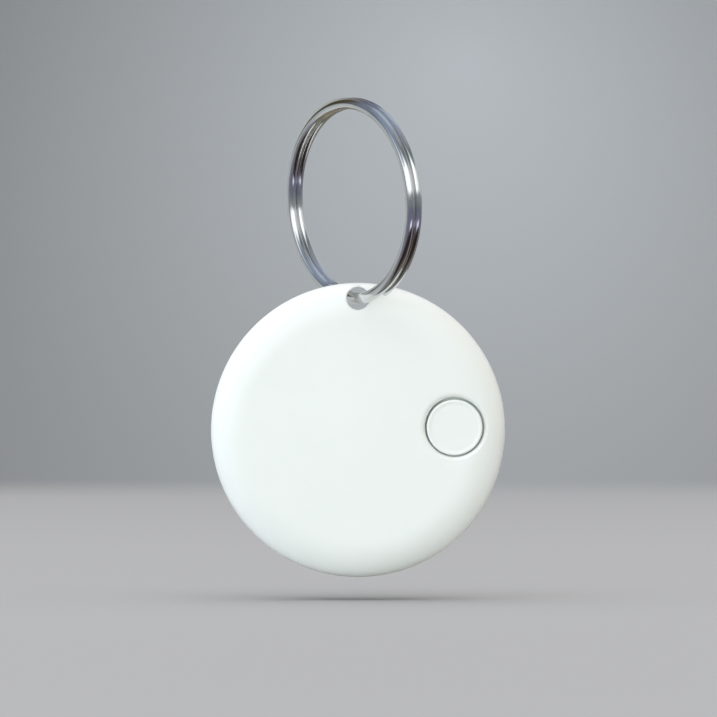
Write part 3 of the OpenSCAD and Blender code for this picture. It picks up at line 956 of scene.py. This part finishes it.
def studio_floor():
    """A pale sweep: a floor that curves up into a wall well behind the object."""
    profile = [(FLOOR_FRONT, 0.0)]
    for k in range(25):
        a = math.pi / 2 * k / 24
        profile.append((WALL_Y - SWEEP_R + SWEEP_R * math.sin(a), SWEEP_R * (1 - math.cos(a))))
    profile.append((WALL_Y, WALL_TOP))
    columns = np.linspace(-FLOOR_HALF_W, FLOOR_HALF_W, 9)
    verts = [(x, y, FLOOR_Z + z) for y, z in profile for x in columns]
    n = len(columns)
    faces = [
        (j * n + i, j * n + i + 1, (j + 1) * n + i + 1, (j + 1) * n + i)
        for j in range(len(profile) - 1) for i in range(n - 1)
    ]
    floor = stage_mesh("studio_floor", verts, faces, backdrop_grey())
    floor.visible_glossy = False
    return floor


def soft_light(name, place, size, power, colour):
    """A large area light turned to the object, which only its soft light shows."""
    lamp = bpy.data.lights.new(name, "AREA")
    lamp.shape = "RECTANGLE"
    lamp.size, lamp.size_y = size
    lamp.energy = power
    lamp.color = colour
    light = bpy.data.objects.new(name, lamp)
    light.location = place
    light.rotation_mode = "QUATERNION"
    light.rotation_quaternion = (-Vector(place)).to_track_quat("-Z", "Y")
    light.visible_camera = False
    light.visible_glossy = False
    bpy.context.scene.collection.objects.link(light)
    return light


def keep_off(light, piece):
    """Keeps a light off one piece."""
    skipped = bpy.data.collections.new(light.name + "_skips")
    skipped.objects.link(piece)
    skipped.collection_objects[0].light_linking.link_state = "EXCLUDE"
    light.light_linking.receiver_collection = skipped


def window(nodes, value, low, high, soft):
    """1 between low and high, falling to 0 over soft outside each."""
    rise = nodes.add("ShaderNodeMapRange", {
        "Value": value, "From Min": low - soft, "From Max": low,
    }, interpolation_type="SMOOTHSTEP").outputs["Result"]
    fall = nodes.add("ShaderNodeMapRange", {
        "Value": value, "From Min": high + soft, "From Max": high,
    }, interpolation_type="SMOOTHSTEP").outputs["Result"]
    return nodes.join("MULTIPLY", rise, fall)


def bands(nodes, elevation, stops):
    """A colour that changes with elevation."""
    ramp = nodes.add("ShaderNodeValToRGB", {
        "Fac": nodes.spread(elevation, 0, 1, -90, 90),
    })
    elements = ramp.color_ramp.elements
    elements[0].position, elements[0].color = 0, rgba(stops[0][1])
    elements[1].position, elements[1].color = 1, rgba(stops[-1][1])
    for degrees, colour in stops[1:-1]:
        elements.new((degrees + 90) / 180).color = rgba(colour)
    return ramp.outputs["Color"]


def reflection_dome():
    """A dome round the ring that only reflections see."""
    middle = sum((Vector(corner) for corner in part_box("split_ring")), Vector()) / 2
    rows, columns = 24, 48
    verts, faces = [], []
    for j in range(rows + 1):
        e = math.pi * (j / rows - 0.5)
        for i in range(columns):
            a = TAU * i / columns
            verts.append((
                DOME_R * math.cos(e) * math.cos(a), DOME_R * math.cos(e) * math.sin(a), DOME_R * math.sin(e)
            ))
    for j in range(rows):
        for i in range(columns):
            k = (i + 1) % columns
            faces.append((j * columns + i, j * columns + k, (j + 1) * columns + k, (j + 1) * columns + i))
    material = bpy.data.materials.new("dome_bands")
    material.use_nodes = True
    material.node_tree.nodes.clear()
    nodes = Nodes(material.node_tree)
    place = nodes.add("ShaderNodeTexCoord").outputs["Object"]
    toward = nodes.vector("NORMALIZE", place).outputs["Vector"]
    parts = nodes.add("ShaderNodeSeparateXYZ", {"Vector": toward})
    elevation = nodes.join("MULTIPLY", nodes.join("ARCSINE", parts.outputs["Z"], 0), 360 / TAU)
    level = nodes.add("ShaderNodeCombineXYZ", {"X": parts.outputs["X"], "Y": parts.outputs["Y"]})
    flat = nodes.vector("NORMALIZE", level.outputs["Vector"]).outputs["Vector"]

    def off_azimuth(degrees):
        """How many degrees a direction lies to either side of an azimuth."""
        a = math.radians(degrees)
        dot = nodes.vector("DOT_PRODUCT", flat, (math.sin(a), -math.cos(a), 0)).outputs["Value"]
        return nodes.join("MULTIPLY", nodes.join("ARCCOSINE", dot, 0), 360 / TAU)

    side = window(nodes, off_azimuth(BACK_SIDE[0]), -1, BACK_SIDE[1], 12)
    colour = nodes.mix(side, bands(nodes, elevation, FRONT_BANDS), bands(nodes, elevation, BACK_BANDS))
    for azimuth, half, low, high, soft, shade in PATCHES:
        patch = nodes.join(
            "MULTIPLY", window(nodes, off_azimuth(azimuth), -1, half, soft * 2),
            window(nodes, elevation, low, high, soft),
        )
        colour = nodes.mix(patch, colour, rgba(shade))
    glow = nodes.add("ShaderNodeEmission", {"Color": colour, "Strength": 1.0})
    end = nodes.add("ShaderNodeOutputMaterial")
    nodes.tree.links.new(glow.outputs["Emission"], end.inputs["Surface"])
    dome = stage_mesh("reflection_dome", verts, faces, material)
    dome.location = middle
    for ray in ("camera", "diffuse", "transmission", "volume_scatter", "shadow"):
        setattr(dome, "visible_" + ray, False)


def studio_world():
    """Soft grey surroundings, brighter above."""
    world = bpy.data.worlds.new("studio_world")
    world.use_nodes = True
    bpy.context.scene.world = world
    nodes = Nodes(world.node_tree)
    direction = nodes.add("ShaderNodeTexCoord").outputs["Generated"]
    height = nodes.add("ShaderNodeSeparateXYZ", {"Vector": direction}).outputs["Z"]
    above = nodes.add("ShaderNodeMapRange", {
        "Value": height, "From Min": WORLD_RISE[0], "From Max": WORLD_RISE[1],
    }, interpolation_type="SMOOTHSTEP")
    colour = nodes.mix(above.outputs["Result"], rgba(WORLD_BASE), rgba(WORLD_TOP))
    world.node_tree.links.new(colour, world.node_tree.nodes["Background"].inputs["Color"])


def camera():
    """A long lens level with the object, a little above its middle."""
    lens = bpy.data.cameras.new("camera")
    lens.lens = LENS_MM
    lens.sensor_width = SENSOR_MM
    lens.clip_start, lens.clip_end = 0.05, 10
    eye = bpy.data.objects.new("camera", lens)
    eye.location = EYE
    eye.rotation_euler = (math.pi / 2, 0, 0)
    bpy.context.scene.collection.objects.link(eye)
    bpy.context.scene.camera = eye


sweep = studio_floor()
studio_world()
reflection_dome()
for settings in LIGHTS:
    light = soft_light(*settings)
    if light.name in OFF_FLOOR:
        keep_off(light, sweep)
camera()
bpy.context.scene.view_settings.view_transform = "Standard"
